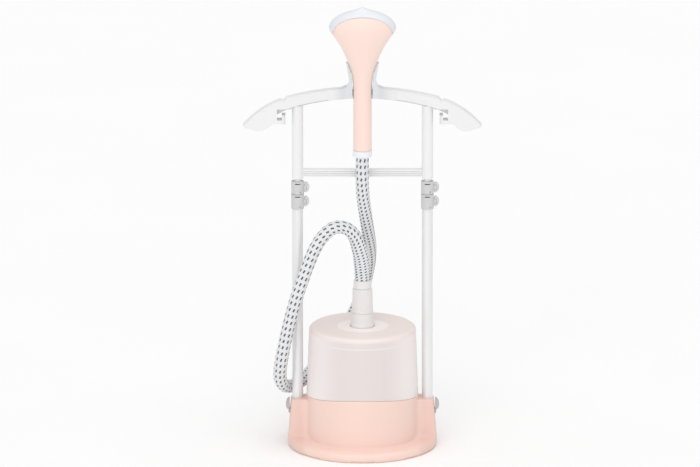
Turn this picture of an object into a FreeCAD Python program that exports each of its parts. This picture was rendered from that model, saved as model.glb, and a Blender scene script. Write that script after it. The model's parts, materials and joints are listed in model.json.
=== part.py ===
import FreeCAD, Part
import math
import os
import re
import Sketcher
from FreeCAD import Placement, Rotation, Vector

# Upright garment steamer, in millimetres. +Z is up, the front is -Y, and the origin is on the
# floor under the middle of the base.

# ---------------------------------------------------------------- driving dimensions
SIZES = {
    # base
    "foot_height": 3, "feet_radius": 136.6, "flange_radius": 138, "flange_top": 17, "pan_thick": 3,
    "body_radius": 104, "wall": 3, "deck_top": 110.5, "plateau_radius": 100,
    "seam_radius": 450, "seam_crown": 109, "shoulder_round": 14,
    "ear_half_depth": 19, "ear_top": 89, "ear_reach": 132,
    "post_circle": 118, "lock_pin_reach": 132.9, "lock_pin_level": 62, "lock_pin_radius": 1,
    "lock_hub_radius": 2.1, "lock_disc_radius": 12.3, "lock_disc_level": 76.5, "lock_face": 134.7,
    "lock_reach": 141.9, "lock_half_width": 9,
    # rear of the base
    "switch_level": 72, "rocker_pivot": 101.5, "gland_level": 34,
    # column and hose connector
    "column_radius": 44.5, "column_foot": 52.5, "column_top": 223.5,
    "ring_radius": 20, "ring_top": 253, "nut_top": 299, "ferrule_top": 314, "hose_radius": 12,
    # tank
    "tank_top": 226.5, "tank_top_radius": 98.6, "tank_wall": 2.5, "tunnel_radius": 47.5,
    "tank_hole": 23, "floor_level": 111, "floor_thick": 3, "valve_offset": 74,
    # boiler
    "boiler_radius": 46, "boiler_floor": 22.2, "boiler_rim": 62, "lid_thick": 6, "bolt_circle": 48.7,
    "element_circle": 34, "element_drop": 3.6,
    # poles
    "pole_spread": 120, "tube_wall": 1.2, "lower_radius": 10, "mid_radius": 8.5,
    "inner_radius": 6.5, "lower_foot": 20, "mid_foot": 40, "inner_foot": 50,
    "lower_tube_top": 470, "mid_tube_top": 495, "inner_tube_top": 655,
    "lower_clamp_foot": 452, "lower_clamp_top": 480, "upper_clamp_foot": 481,
    "upper_clamp_top": 504.5, "collar_radius": 11.8, "tab_radius": 11, "tab_thick": 4.4,
    "tab_centre": 10.8, "lever_pin_offset": 14.6, "lever_pin_radius": 1.5,
    # upper frame
    "sleeve_radius": 10.5, "sleeve_foot": 510, "sleeve_top": 650, "bar_foot": 513.5,
    "bar_height": 14, "bar_depth": 12, "hanger_depth": 22, "arm_crown": 683, "arm_belly": 664.5,
    "arm_belly_radius": 454.2, "cradle_screw_reach": 34, "cradle_screw_level": 674,
    # hand unit
    "hand_y": -30, "barrel_radius": 17.1, "barrel_foot": 572.6, "shell_wall": 2.6,
    "collar_foot": 560, "front_split_tilt": 82.5, "rear_split_tilt": 34, "hole_tilt": 50,
    # running clearance of a shaft or tube in its bore
    "play": 0.08,
}

doc = FreeCAD.newDocument("garment_steamer")
sheet = doc.addObject("Spreadsheet::Sheet", "Sizes")
for row, (alias, value) in enumerate(SIZES.items(), start=1):
    sheet.set("A%d" % row, alias.replace("_", " "))
    sheet.set("B%d" % row, str(value))
    sheet.setAlias("B%d" % row, alias)
doc.recompute()

parts = []


# ---------------------------------------------------------------- helpers
def bound(text):
    """The expression with each size's alias turned into a reference to the sheet."""
    return re.sub(r"[a-z][a-z_]*[a-z]", lambda m: "Sizes." + m.group() if m.group() in SIZES else m.group(),
                  str(text))


def value(text):
    """The number, in millimetres, that such an expression has now."""
    return float(sheet.evalExpression(bound(text)))


def bind(obj, **expressions):
    for name, text in expressions.items():
        obj.setExpression(name.replace("__", "."), bound(text))


def place(obj, x="0", y="0", z="0"):
    bind(obj, Placement__Base__x=x, Placement__Base__y=y, Placement__Base__z=z)
    return obj


def done(obj, label):
    """Keeps an object as a finished sub-part, under the name of its file."""
    obj.Label = label
    parts.append(obj)
    return obj


def cylinder(radius, height, x="0", y="0", z="0", axis=None):
    obj = doc.addObject("Part::Cylinder", "cylinder")
    bind(obj, Radius=radius, Height=height)
    if axis is not None:
        obj.Placement = Placement(Vector(), Rotation(Vector(0, 0, 1), axis))
    return place(obj, x, y, z)


def box(x0, x1, y0, y1, z0, z1):
    obj = doc.addObject("Part::Box", "box")
    bind(obj, Length="(%s) - (%s)" % (x1, x0), Width="(%s) - (%s)" % (y1, y0),
         Height="(%s) - (%s)" % (z1, z0))
    return place(obj, x0, y0, z0)


def fuse(*shapes):
    obj = doc.addObject("Part::MultiFuse", "fuse")
    obj.Shapes = list(shapes)
    return obj


def common(*shapes):
    obj = doc.addObject("Part::MultiCommon", "common")
    obj.Shapes = list(shapes)
    return obj


def cut(base, *tools):
    obj = doc.addObject("Part::Cut", "cut")
    obj.Base = base
    obj.Tool = tools[0] if len(tools) == 1 else fuse(*tools)
    return obj


def tube(outer, inner, foot, top, x="0", y="0"):
    height = "(%s) - (%s)" % (top, foot)
    return cut(cylinder(outer, height, x, y, foot), cylinder(inner, height, x, y, foot))


def outline_sketch(body, role, points):
    """A closed sketch on one of the body's own planes, its corners bound to the sheet."""
    plane = [f for f in body.Origin.OriginFeatures if f.Role == role][0]
    sketch = body.newObject("Sketcher::SketchObject", "outline")
    sketch.AttachmentSupport = [(plane, "")]
    sketch.MapMode = "FlatFace"
    corners = [Vector(value(across), value(up), 0) for across, up in points]
    count = len(corners)
    for i in range(count):
        sketch.addGeometry(Part.LineSegment(corners[i], corners[(i + 1) % count]), False)
    for i in range(count):
        sketch.addConstraint(Sketcher.Constraint("Coincident", i, 2, (i + 1) % count, 1))
    for i in range(count):
        for kind, text, now in zip(("DistanceX", "DistanceY"), points[i], (corners[i].x, corners[i].y)):
            if abs(now) < 1e-9:
                axis = -2 if kind == "DistanceX" else -1
                sketch.addConstraint(Sketcher.Constraint("PointOnObject", i, 1, axis))
            else:
                index = sketch.addConstraint(Sketcher.Constraint(kind, -1, 1, i, 1, now))
                sketch.setExpression("Constraints[%d]" % index, bound(text))
    return sketch


def turned(points, x="0", y="0", z="0"):
    """A turned body: the outline of (radius, height) corners revolved about the Z axis."""
    body = doc.addObject("PartDesign::Body", "turned")
    sketch = outline_sketch(body, "XZ_Plane", points)
    revolution = body.newObject("PartDesign::Revolution", "revolution")
    revolution.Profile = sketch
    revolution.ReferenceAxis = (sketch, ["V_Axis"])
    revolution.Angle = 360
    return place(body, x, y, z)


def padded(points, thick, x="0", y="0", z="0"):
    """A slab: the outline of (x, z) corners padded evenly to both sides of the XZ plane."""
    body = doc.addObject("PartDesign::Body", "padded")
    sketch = outline_sketch(body, "XZ_Plane", points)
    pad = body.newObject("PartDesign::Pad", "pad")
    pad.Profile = sketch
    pad.Midplane = True
    bind(pad, Length=thick)
    return place(body, x, y, z)


def feature(shape, at=None):
    obj = doc.addObject("Part::Feature", "feature")
    obj.Shape = shape
    if at is not None:
        obj.Placement = Placement(at, Rotation())
    return obj


def rounded(base, choose):
    """Rounds the edges for which choose(edge) gives a radius."""
    doc.recompute()
    edges = [(i, choose(edge), choose(edge)) for i, edge in enumerate(base.Shape.Edges, start=1)
             if choose(edge)]
    obj = doc.addObject("Part::Fillet", "fillet")
    obj.Base = base
    obj.Edges = edges
    return obj


def mirrored(base):
    obj = doc.addObject("Part::Mirroring", "mirrored")
    obj.Source = base
    obj.Normal = Vector(1, 0, 0)
    return obj


def around(count, radius, first=0.0):
    """Evenly spaced places on a circle, as (x, y, degrees)."""
    turns = [first + 360.0 * i / count for i in range(count)]
    return [(radius * math.cos(math.radians(a)), radius * math.sin(math.radians(a)), a) for a in turns]


def screw(at, length, head_radius, head_height, shank_radius, direction):
    """A pan-head screw whose head's top is at the given point and whose shank runs along direction."""
    head = Part.makeCylinder(head_radius, head_height, at, direction)
    slot = Part.makeBox(head_radius * 1.2, 0.8, 0.8)
    slot.translate(Vector(-head_radius * 0.6, -0.4, 0))
    slot.Placement = Placement(at, Rotation(Vector(0, 0, 1), direction)).multiply(slot.Placement)
    shank = Part.makeCylinder(shank_radius, length - head_height, at + direction * head_height, direction)
    return head.fuse(shank).cut(slot).removeSplitter()


def rounded_path(route):
    """Straight runs joined by tangent arcs as large as the runs allow, and the arcs' radii."""
    points = [Vector(*p) for p in route]
    edges, radii, start = [], [], points[0]
    for before, corner, after in zip(points, points[1:], points[2:]):
        back, forth = before - corner, after - corner
        turn = math.pi - back.getAngle(forth)
        reach = 0.45 * min(back.Length, forth.Length)
        radius = reach / math.tan(turn / 2)
        back.normalize()
        forth.normalize()
        enter, leave = corner + back * reach, corner + forth * reach
        inward = back + forth
        inward.normalize()
        centre = corner + inward * math.hypot(radius, reach)
        edges.append(Part.LineSegment(start, enter).toShape())
        edges.append(Part.Arc(enter, centre - inward * radius, leave).toShape())
        radii.append(radius)
        start = leave
    edges.append(Part.LineSegment(start, points[-1]).toShape())
    return Part.Wire(edges), radii


SIDES = {"left": "-", "right": ""}


# ---------------------------------------------------------------- base
def seam_roller(clearance):
    """The large cylinder, lying along Y, whose crown is the curved seam between base and tank."""
    length = 300
    roller = doc.addObject("Part::Cylinder", "seam")
    bind(roller, Radius="seam_radius + %s" % clearance)
    roller.Height = length
    roller.Placement = Placement(Vector(), Rotation(Vector(0, 0, 1), Vector(0, 1, 0)))
    return place(roller, "0", str(-length / 2), "seam_crown - seam_radius")


def base_outside():
    """The solid outline of the upper housing: a round trunk with a shoulder on each side."""
    trunk = cylinder("body_radius", "deck_top + 6 - flange_top", z="flange_top")
    cone = doc.addObject("Part::Cone", "ear_limit")
    bind(cone, Radius1="flange_radius - 0.1", Radius2="ear_reach", Height="ear_top - flange_top + 5")
    place(cone, z="flange_top - 5")
    ears = common(cone, box("-flange_radius", "flange_radius", "-ear_half_depth", "ear_half_depth",
                            "flange_top", "ear_top"))
    whole = fuse(trunk, ears)
    whole.Refine = True
    ear_half, body, round_radius = value("ear_half_depth"), value("body_radius"), value("shoulder_round")

    def radius(edge):
        """A wide round where a shoulder meets the trunk."""
        limits = edge.BoundBox
        reach = math.hypot(limits.Center.x, limits.Center.y)
        meets_trunk = abs(abs(limits.Center.y) - ear_half) < 1 and reach < body + 3
        return round_radius if meets_trunk and limits.ZLength > 50 else 0

    return rounded(whole, radius)


def base_cavity():
    """The hollow of the upper housing: the trunk, stepped in at the deck, and a pocket in each shoulder."""
    hollow = turned([("0", "0"), ("body_radius - wall", "0"), ("body_radius - wall", "94"),
                     ("plateau_radius - wall", "94"), ("plateau_radius - wall", "deck_top - wall"),
                     ("0", "deck_top - wall")])
    pockets = [box(near, far, "wall - ear_half_depth", "ear_half_depth - wall", "flange_top + wall",
                   "ear_top - wall")
               for near, far in (("3 - ear_reach", "-body_radius - 4"), ("body_radius + 4", "ear_reach - 3"))]
    return fuse(hollow, *pockets)


def post_places(first=30):
    """The places of the six screws that hold the pan."""
    return around(6, value("post_circle"), first)


def make_base_skirt():
    """The wide ring that the upper housing stands on, with the posts that take the pan's screws."""
    ring = turned([("flange_radius - 4", "foot_height"), ("flange_radius - 2", "foot_height"),
                   ("flange_radius", "foot_height + 3"), ("flange_radius", "flange_top - 4.5"),
                   ("flange_radius - 0.8", "flange_top - 2"), ("flange_radius - 3.2", "flange_top - 0.4"),
                   ("flange_radius - 6", "flange_top"), ("body_radius - 10", "flange_top"),
                   ("body_radius - 10", "flange_top - wall"), ("flange_radius - 4", "flange_top - wall")])
    posts = [cut(cylinder("5", "flange_top - wall - foot_height - pan_thick", str(x), str(y),
                          "foot_height + pan_thick"),
                 cylinder("1.6", "8", str(x), str(y), "foot_height + pan_thick"))
             for x, y, _ in post_places()]
    done(fuse(ring, *posts), "base_skirt")


def make_base_shell():
    ledge = cut(tube("body_radius + 8", "plateau_radius", "88", "deck_top + 8"), seam_roller("0"))
    trim = cylinder("body_radius + 8", "8", z="deck_top")
    shell = cut(base_outside(), base_cavity(), ledge, trim,
                cylinder("column_foot - 6", "8", z="deck_top - 6"),
                cylinder("21.1", "8", y="valve_offset", z="deck_top - 6"),
                *[cylinder("lower_radius + play", "ear_top - lower_foot + 4", s + "pole_spread", "0",
                           "lower_foot") for s in ("-", "")],
                box("-10.2", "10.2", "90", "120", "switch_level - 13.2", "switch_level + 13.2"),
                cylinder("7.05", "30", "0", "90", "gland_level", Vector(0, 1, 0)))
    socket = [tube("lower_radius + 3", "lower_radius + play", "flange_top + wall - 1", "ear_top - wall + 1",
                   s + "pole_spread") for s in ("-", "")]
    cheeks, gaps, holes = [], [], []
    for side, sign in SIDES.items():
        at = sign + "lock_pin_reach"
        cheeks.append(cylinder("lock_hub_radius + 0.2", "25", at, "-12.5", "lock_pin_level", Vector(0, 1, 0)))
        near, far = {"left": ("-150", "-lower_radius - pole_spread - 0.6"),
                     "right": ("lower_radius + pole_spread + 0.6", "150")}[side]
        gaps.append(box(near, far, "-lock_half_width", "lock_half_width", "lock_pin_level - 4.5",
                        "lock_pin_level + 6.2"))
        holes.append(cylinder("lock_pin_radius", "30", at, "-15", "lock_pin_level", Vector(0, 1, 0)))
    done(cut(fuse(shell, *socket, *cheeks), *gaps, *holes), "base_shell")


def make_base_pan():
    disc = cylinder("flange_radius - 4.3", "pan_thick", z="foot_height")
    legs = [cylinder("5", "boiler_floor - foot_height - pan_thick - 0.1", str(x), str(y),
                     "foot_height + pan_thick") for x, y, _ in around(3, 20, 90)]
    holes = [cylinder("1.65", "9", str(x), str(y), "0") for x, y, _ in post_places()]
    recesses = [cylinder("3.6", "1.6", str(x), str(y), "foot_height") for x, y, _ in post_places()]
    done(cut(fuse(disc, *legs), *holes, *recesses), "base_pan")
    screws = [screw(Vector(x, y, value("foot_height") + 0.1), 9.5, 3.4, 1.5, 1.6, Vector(0, 0, 1))
              for x, y, _ in post_places()]
    done(feature(Part.makeCompound(screws)), "pan_screws")


def make_feet():
    """Eight rubber pads round the rim; the front one faces -Y."""
    height, sweep = value("foot_height"), 19
    pads = []
    for _, _, turn in around(8, 1, -90):
        outer = Part.makeCylinder(value("feet_radius"), height, Vector(), Vector(0, 0, 1), sweep)
        inner = Part.makeCylinder(value("feet_radius") - 10, height, Vector(), Vector(0, 0, 1), sweep)
        pad = outer.cut(inner)
        pad.rotate(Vector(), Vector(0, 0, 1), turn - sweep / 2)
        pads.append(pad)
    done(feature(Part.makeCompound(pads)), "feet")


def make_column_cover():
    under = "deck_top - wall - 0.1"
    done(turned([("column_foot - 9", "deck_top - wall - 3"), ("column_foot", "deck_top - wall - 3"),
                 ("column_foot", under), ("column_foot - 6.5", under), ("column_radius + 1", "deck_top + 10"),
                 ("column_radius", "column_top - 4"), ("column_radius - 3", "column_top"),
                 ("7.5", "column_top"), ("7.5", "column_top - 3"), ("column_radius - 5", "column_top - 3"),
                 ("column_radius - 3", "column_top - 8"), ("column_radius - 2", "deck_top + 10")]),
         "column_cover")


def make_lock_lever(side, sign):
    """The D-shaped lever that locks a pole: a hub on a pin in the shoulder's slot, a neck and a round tab."""
    half, width = "0.2 - lock_half_width", "2 * lock_half_width - 0.4"
    at = sign + "lock_pin_reach"
    disc_at, inner, outer, neck_end = {
        "left": ("lock_disc_radius - lock_reach", "-160", "-lock_face", "-lock_face - 2.2"),
        "right": ("lock_reach - lock_disc_radius", "lock_face", "160", "lock_pin_reach")}[side]
    hub = cylinder("lock_hub_radius", width, at, half, "lock_pin_level", Vector(0, 1, 0))
    neck = box(neck_end, neck_end + " + 2.2 + lock_face - lock_pin_reach", half, "lock_half_width - 0.2",
               "lock_pin_level - 0.5", "lock_pin_level + 5.3")
    disc = cylinder("lock_disc_radius", width, disc_at, half, "lock_disc_level", Vector(0, 1, 0))
    tab = common(disc, box(inner, outer, "-lock_half_width", "lock_half_width", "lock_pin_level + 2",
                           "lock_pin_level + 40"))
    bore = cylinder("lock_pin_radius + play", "30", at, "-15", "lock_pin_level", Vector(0, 1, 0))
    done(cut(fuse(hub, neck, tab), bore), "lock_lever_" + side)


def make_lock_lever_pins():
    reach, level = value("lock_pin_reach"), value("lock_pin_level")
    pins = [Part.makeCylinder(value("lock_pin_radius"), 25, Vector(x, -12.5, level), Vector(0, 1, 0))
            for x in (-reach, reach)]
    done(feature(Part.makeCompound(pins)), "lock_lever_pins")


def make_rear_fittings():
    """The rocker switch in its frame, on a pivot along X, and the gland of the mains lead below it."""
    def band(half_width, near, far, half_height):
        return box("-%s" % half_width, half_width, near, far, "switch_level - %s" % half_height,
                   "switch_level + %s" % half_height)

    pivot = [cylinder(radius, length, x, "rocker_pivot", "switch_level", Vector(1, 0, 0))
             for radius, length, x in (("1.5 + play", "24", "-12"), ("1.5", "18.8", "-9.4"))]
    frame = cut(band("12.5", "104.1", "106.6", "15.5"), band("8.6", "100", "110", "12.3"))
    sleeve = cut(band("10.1", "92", "104.1", "13.1"), band("8.6", "93.5", "110", "12.3"))
    done(cut(fuse(frame, sleeve), pivot[0]), "switch_frame")
    corners = [("-9.8", "98.5"), ("9.8", "98.5"), ("10.6", "104.2"), ("0", "105.4"), ("-10.6", "107.6")]
    body = doc.addObject("PartDesign::Body", "rocker")
    sketch = outline_sketch(body, "XY_Plane", corners)
    pad = body.newObject("PartDesign::Pad", "pad")
    pad.Profile = sketch
    pad.Midplane = True
    pad.Length = 16.4
    body.Placement = Placement(Vector(0, 0, value("switch_level")), Rotation(Vector(0, 1, 0), -90))
    done(fuse(body, pivot[1]), "switch_rocker")
    gland = fuse(cylinder("7", "12", "0", "96", "gland_level", Vector(0, 1, 0)),
                 cylinder("9.5", "3", "0", "104.4", "gland_level", Vector(0, 1, 0)))
    done(cut(gland, cylinder("3.6", "30", "0", "90", "gland_level", Vector(0, 1, 0))), "cable_gland")


# ---------------------------------------------------------------- boiler and water path
def make_boiler():
    done(turned([("0", "boiler_floor"), ("boiler_radius", "boiler_floor"), ("boiler_radius", "boiler_rim - 4"),
                 ("boiler_radius + 6", "boiler_rim - 4"), ("boiler_radius + 6", "boiler_rim"),
                 ("boiler_radius - 5", "boiler_rim"), ("boiler_radius - 5", "boiler_floor + 7"),
                 ("0", "boiler_floor + 7")]), "boiler_body")
    lid = turned([("5.5", "boiler_rim"), ("boiler_radius + 6", "boiler_rim"),
                  ("boiler_radius + 6", "boiler_rim + lid_thick"), ("14", "boiler_rim + lid_thick"),
                  ("11", "boiler_rim + lid_thick + 8"), ("5.5", "boiler_rim + lid_thick + 8")])
    holes = [cylinder("1.55", "12", str(x), str(y), "boiler_rim - 1") for x, y, _ in around(6, value("bolt_circle"))]
    done(cut(lid, *holes), "boiler_lid")
    top = value("boiler_rim + lid_thick")
    bolts = [screw(Vector(x, y, top + 2), 8, 2.8, 2, 1.5, Vector(0, 0, -1))
             for x, y, _ in around(6, value("bolt_circle"))]
    done(feature(Part.makeCompound(bolts)), "boiler_screws")
    circle, level = value("element_circle"), value("boiler_floor - element_drop")
    ring = Part.makeTorus(circle, 3.5, Vector(0, 0, level))
    ends = [Part.makeCylinder(2.4, 20, Vector(x, -circle, level), Vector(0, -1, 0)) for x in (-8, 8)]
    done(feature(ring.fuse(ends).removeSplitter()), "heating_element")
    done(turned([("0", "boiler_rim + lid_thick"), ("9", "boiler_rim + lid_thick"),
                 ("9", "boiler_rim + lid_thick + 5"), ("6", "boiler_rim + lid_thick + 11"),
                 ("0", "boiler_rim + lid_thick + 11")], x="28"), "thermostat")
    done(cylinder("3", "16", "-30", "-8", "boiler_rim + lid_thick + 3.1", Vector(0, 1, 0)), "thermal_fuse")
    done(tube("7", "5.5", "boiler_rim + lid_thick + 8", "ring_top - 20"), "steam_riser")


def make_water_path():
    cup = cut(cylinder("21", "deck_top - 97.1", y="valve_offset", z="97"),
              cylinder("18.4", "20", y="valve_offset", z="99.5"),
              cylinder("3.5", "9", "11", "valve_offset", "95"))
    done(fuse(cup, cylinder("2", "2.2", y="valve_offset", z="98.5")), "valve_seat")
    x, y, low, bend = 11.0, value("valve_offset"), 45.0, 12.0
    wall_y = math.sqrt(value("boiler_radius") ** 2 - x * x) + 1
    top, corner = Vector(x, y, 96.9), Vector(x, y, low)
    start, finish = corner + Vector(0, 0, bend), corner + Vector(0, -bend, 0)
    middle = corner + Vector(0, -bend, bend) + Vector(0, 1, -1) * (bend / math.sqrt(2))
    path = Part.Wire([Part.LineSegment(top, start).toShape(), Part.Arc(start, middle, finish).toShape(),
                      Part.LineSegment(finish, Vector(x, wall_y, low)).toShape()])
    outer = Part.Wire([Part.makeCircle(4.5, top, Vector(0, 0, 1))])
    inner = Part.Wire([Part.makeCircle(3.5, top, Vector(0, 0, 1))])
    pipe = path.makePipeShell([outer], True, True).cut(path.makePipeShell([inner], True, True))
    done(feature(pipe), "water_pipe")


# ---------------------------------------------------------------- water tank
def make_tank():
    """The clear outer shell, the floor with the tunnel for the column, and the valve in the floor."""
    top, under = "tank_top", "tank_top - tank_wall"
    shell = turned([("body_radius", "88"), ("tank_top_radius + 0.5", "tank_top - 8"),
                    ("tank_top_radius - 0.2", "tank_top - 4.6"), ("tank_top_radius - 2", "tank_top - 2"),
                    ("tank_top_radius - 4.6", "tank_top - 0.4"), ("tank_top_radius - 8", top),
                    ("tank_hole", top), ("tank_hole", under), ("tunnel_radius + 8", under),
                    ("tank_top_radius - 9", under), ("tank_top_radius - 6", "tank_top - tank_wall - 0.6"),
                    ("tank_top_radius - 3.6", "tank_top - tank_wall - 2.4"),
                    ("tank_top_radius - 2", "tank_top - tank_wall - 8"), ("body_radius - tank_wall", "88")])
    lower = cut(seam_roller("0.5"), cylinder("plateau_radius + 0.4", "300", z="-100"))
    done(cut(shell, lower), "tank_body")
    floor_top, rim, inner, outer = "floor_level + floor_thick", "plateau_radius + 0.2", "tunnel_radius + 0.4", \
        "tunnel_radius + 2.6"
    floor = turned([(inner, "floor_level"), (rim, "floor_level"), (rim, floor_top), (outer, floor_top),
                    (outer, under), (inner, under)])
    done(cut(floor, cylinder("12.1", "10", y="valve_offset", z="floor_level - 2")), "tank_floor")
    cap = turned([("2.7", "108"), ("6.2", "108"), ("6.2", "105"), ("17", "105"), ("17", "floor_level - 0.1"),
                  ("12", "floor_level - 0.1"), ("12", "119"), ("9.5", "119"), ("9.5", "110.5"),
                  ("2.7", "110.5")], y="valve_offset")
    spokes = cut(cylinder("12", "3", y="valve_offset", z="116"), cylinder("2.7", "9", y="valve_offset", z="114"))
    ports = [cylinder("2.6", "9", str(x), "valve_offset + %s" % y, "114") for x, y, _ in around(4, 6.4, 45)]
    done(fuse(cap, cut(spokes, *ports)), "valve_cap")
    done(turned([("0", "101"), ("5", "101"), ("5", "102.2"), ("2.6", "102.2"), ("2.6", "119.3"), ("8", "119.3"),
                 ("8", "121.3"), ("0", "121.3")], y="valve_offset"), "valve_plunger")
    coil_radius, pitch, turns, steps = 4.4, 1.45, 3, 10
    coil = []
    for i in range(turns * steps + 1):
        angle = 2 * math.pi * i / steps
        coil.append((coil_radius * math.cos(angle), value("valve_offset") + coil_radius * math.sin(angle),
                     102.9 + pitch * i / steps))
    path, _ = rounded_path(coil)
    wire = Part.Wire([Part.makeCircle(0.45, Vector(*coil[0]), Vector(*coil[1]) - Vector(*coil[0]))])
    done(feature(path.makePipeShell([wire], True, False)), "valve_spring")


# ---------------------------------------------------------------- hose connector
def make_connector():
    done(cut(turned([("7.1", "column_top + 0.1"), ("ring_radius + 1.5", "column_top + 0.1"),
                     ("ring_radius + 1.5", "column_top + 7"), ("ring_radius + 0.3", "column_top + 9"),
                     ("ring_radius", "ring_top"), ("12", "ring_top"), ("12", "ring_top + 14"),
                     ("5", "ring_top + 14"), ("5", "ring_top - 19.9"), ("7.1", "ring_top - 19.9")]),
             cut(cylinder("13", "3", z="ring_top + 8"), cylinder("10.6", "3", z="ring_top + 8"))),
         "connector_base")
    seal = Part.makeTorus(11.2, 0.6, Vector(0, 0, value("ring_top + 9.5")))
    done(feature(seal), "connector_seal")
    nut = turned([("13", "ring_top + 0.4"), ("19.8", "ring_top + 0.4"), ("19.4", "ring_top + 8"),
                  ("18.3", "nut_top - 1"), ("17.5", "nut_top"), ("13", "nut_top")])
    grooves = []
    for x, y, turn in around(20, 20.1):
        groove = Part.makeCylinder(1.5, value("nut_top - ring_top") - 10, Vector(x, y, value("ring_top + 6")))
        groove.rotate(Vector(x, y, value("ring_top + 6")), Vector(-y, x, 0), -1.6)
        grooves.append(groove)
    done(cut(nut, feature(Part.makeCompound(grooves))), "connector_nut")
    done(turned([("7", "ring_top + 14.1"), ("12.5", "ring_top + 14.1"), ("12.5", "nut_top + 0.4"),
                 ("16.8", "nut_top + 0.4"), ("16.4", "ferrule_top - 1"), ("15.6", "ferrule_top"),
                 ("7", "ferrule_top")]), "hose_ferrule")


# ---------------------------------------------------------------- hose
# The route of the hose, from the connector over an arch to the left, in front of the left pole,
# round behind the tank and up into the handle.
HOSE_ROUTE = [
    (0, 0, 314), (0, 0, 345), (-6, -2, 376), (-15, -4, 403), (-30, -8, 417), (-48, -12, 420),
    (-66, -16, 412), (-87, -24, 385), (-104, -31, 343), (-119, -34, 300), (-131, -34, 258),
    (-142, -32, 212), (-150, -28, 168), (-154, -16, 135), (-149, 5, 111), (-135, 29, 100),
    (-118, 52, 101), (-101, 73, 111), (-79, 95, 132), (-52, 114, 163), (-25.5, 124, 198),
    (-7, 127, 232), (2.5, 124, 265), (9, 115, 297), (14, 99, 328), (14, 76, 358), (11, 51, 390),
    (7, 27, 423), (3, 4, 456), (0, -16, 489), (-0.7, -27.6, 522), (-0.2, -30.2, 552),
    (0.2, -30, 582), (0, -30.1, 610),
]


def make_hose():
    path, radii = rounded_path(HOSE_ROUTE)
    radius = value("hose_radius")
    first, second = Vector(*HOSE_ROUTE[0]), Vector(*HOSE_ROUTE[1])
    section = Part.Wire([Part.makeCircle(radius, first, second - first)])
    tube_solid = path.makePipeShell([section], True, False)
    print("hose length %.0f mm, arc radii %s" % (path.Length, ", ".join("%.0f" % r for r in radii)))
    expected = math.pi * radius ** 2 * path.Length
    print("hose volume / (section x length) = %.4f" % (tube_solid.Volume / expected))
    done(feature(tube_solid), "hose")


# ---------------------------------------------------------------- poles and clamps
def make_clamp(foot, top, lower_bore, upper_bore, step, sign, label):
    """A flip clamp: a collar with two bores, a knuckle on its +X side and two slits in front."""
    at = sign + "pole_spread"
    middle = "((%s) + (%s)) / 2" % (foot, top)
    collar = cylinder("collar_radius", "(%s) - (%s)" % (top, foot), at, "0", foot)
    knuckle = fuse(cylinder("2.6", "8", at + " + lever_pin_offset", "0", middle + " - 4"),
                   box(at + " + 9", at + " + lever_pin_offset", "-2.6", "2.6", middle + " - 4", middle + " + 4"))
    slit = box(at + " - 5", at + " + 6", "-13", "-9.6", top + " - 5", top + " - 3")
    notch = box(at + " + 4.4", at + " + 6", "-13", "-7", foot + " + 3", foot + " + 5.4")
    bores = [cylinder(lower_bore, "(%s) - (%s)" % (step, foot), at, "0", foot),
             cylinder(upper_bore, "(%s) - (%s)" % (top, step), at, "0", step)]
    pin_hole = cylinder("lever_pin_radius", "30", at + " + lever_pin_offset", "0", middle + " - 15")
    done(cut(fuse(collar, knuckle), *bores, slit, notch, pin_hole), label)


def make_clamp_lever(foot, top, sign, label):
    """The clamp's half-round lever, with hubs above and below the knuckle on its upright pin."""
    at = sign + "pole_spread"
    middle = "((%s) + (%s)) / 2" % (foot, top)
    disc = common(cylinder("tab_radius", "tab_thick", at + " + tab_centre", "-tab_thick / 2", middle,
                           Vector(0, 1, 0)),
                  box(at + " + lever_pin_offset", at + " + 30", "-4", "4", middle + " - 12", middle + " + 12"))
    hubs = [cylinder("2.2", "5", at + " + lever_pin_offset", "0", middle + z) for z in (" - 9.3", " + 4.3")]
    window = cylinder("3.8", "8.6", at + " + lever_pin_offset", "0", middle + " - 4.3")
    bore = cylinder("lever_pin_radius + play", "30", at + " + lever_pin_offset", "0", middle + " - 15")
    done(cut(fuse(disc, *hubs), window, bore), label)


def clamp_pins(foot, top, label):
    middle = value("((%s) + (%s)) / 2" % (foot, top))
    pins = [Part.makeCylinder(value("lever_pin_radius"), 18.6,
                              Vector(sign * value("pole_spread") + value("lever_pin_offset"), 0, middle - 9.3))
            for sign in (-1, 1)]
    done(feature(Part.makeCompound(pins)), label)


def make_poles():
    for side, sign in SIDES.items():
        at = sign + "pole_spread"
        done(tube("lower_radius", "lower_radius - tube_wall", "lower_foot", "lower_tube_top", at),
             "lower_tube_" + side)
        done(tube("mid_radius", "mid_radius - tube_wall", "mid_foot", "mid_tube_top", at), "mid_tube_" + side)
        done(tube("inner_radius", "inner_radius - tube_wall", "inner_foot", "inner_tube_top", at),
             "inner_tube_" + side)
        make_clamp("lower_clamp_foot", "lower_clamp_top", "lower_radius", "mid_radius + play",
                   "lower_tube_top", sign, "lower_clamp_" + side)
        make_clamp("upper_clamp_foot", "upper_clamp_top", "mid_radius", "inner_radius + play",
                   "mid_tube_top", sign, "upper_clamp_" + side)
        make_clamp_lever("lower_clamp_foot", "lower_clamp_top", sign, "lower_clamp_lever_" + side)
        make_clamp_lever("upper_clamp_foot", "upper_clamp_top", sign, "upper_clamp_lever_" + side)
    clamp_pins("lower_clamp_foot", "lower_clamp_top", "lower_clamp_pins")
    clamp_pins("upper_clamp_foot", "upper_clamp_top", "upper_clamp_pins")


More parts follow.
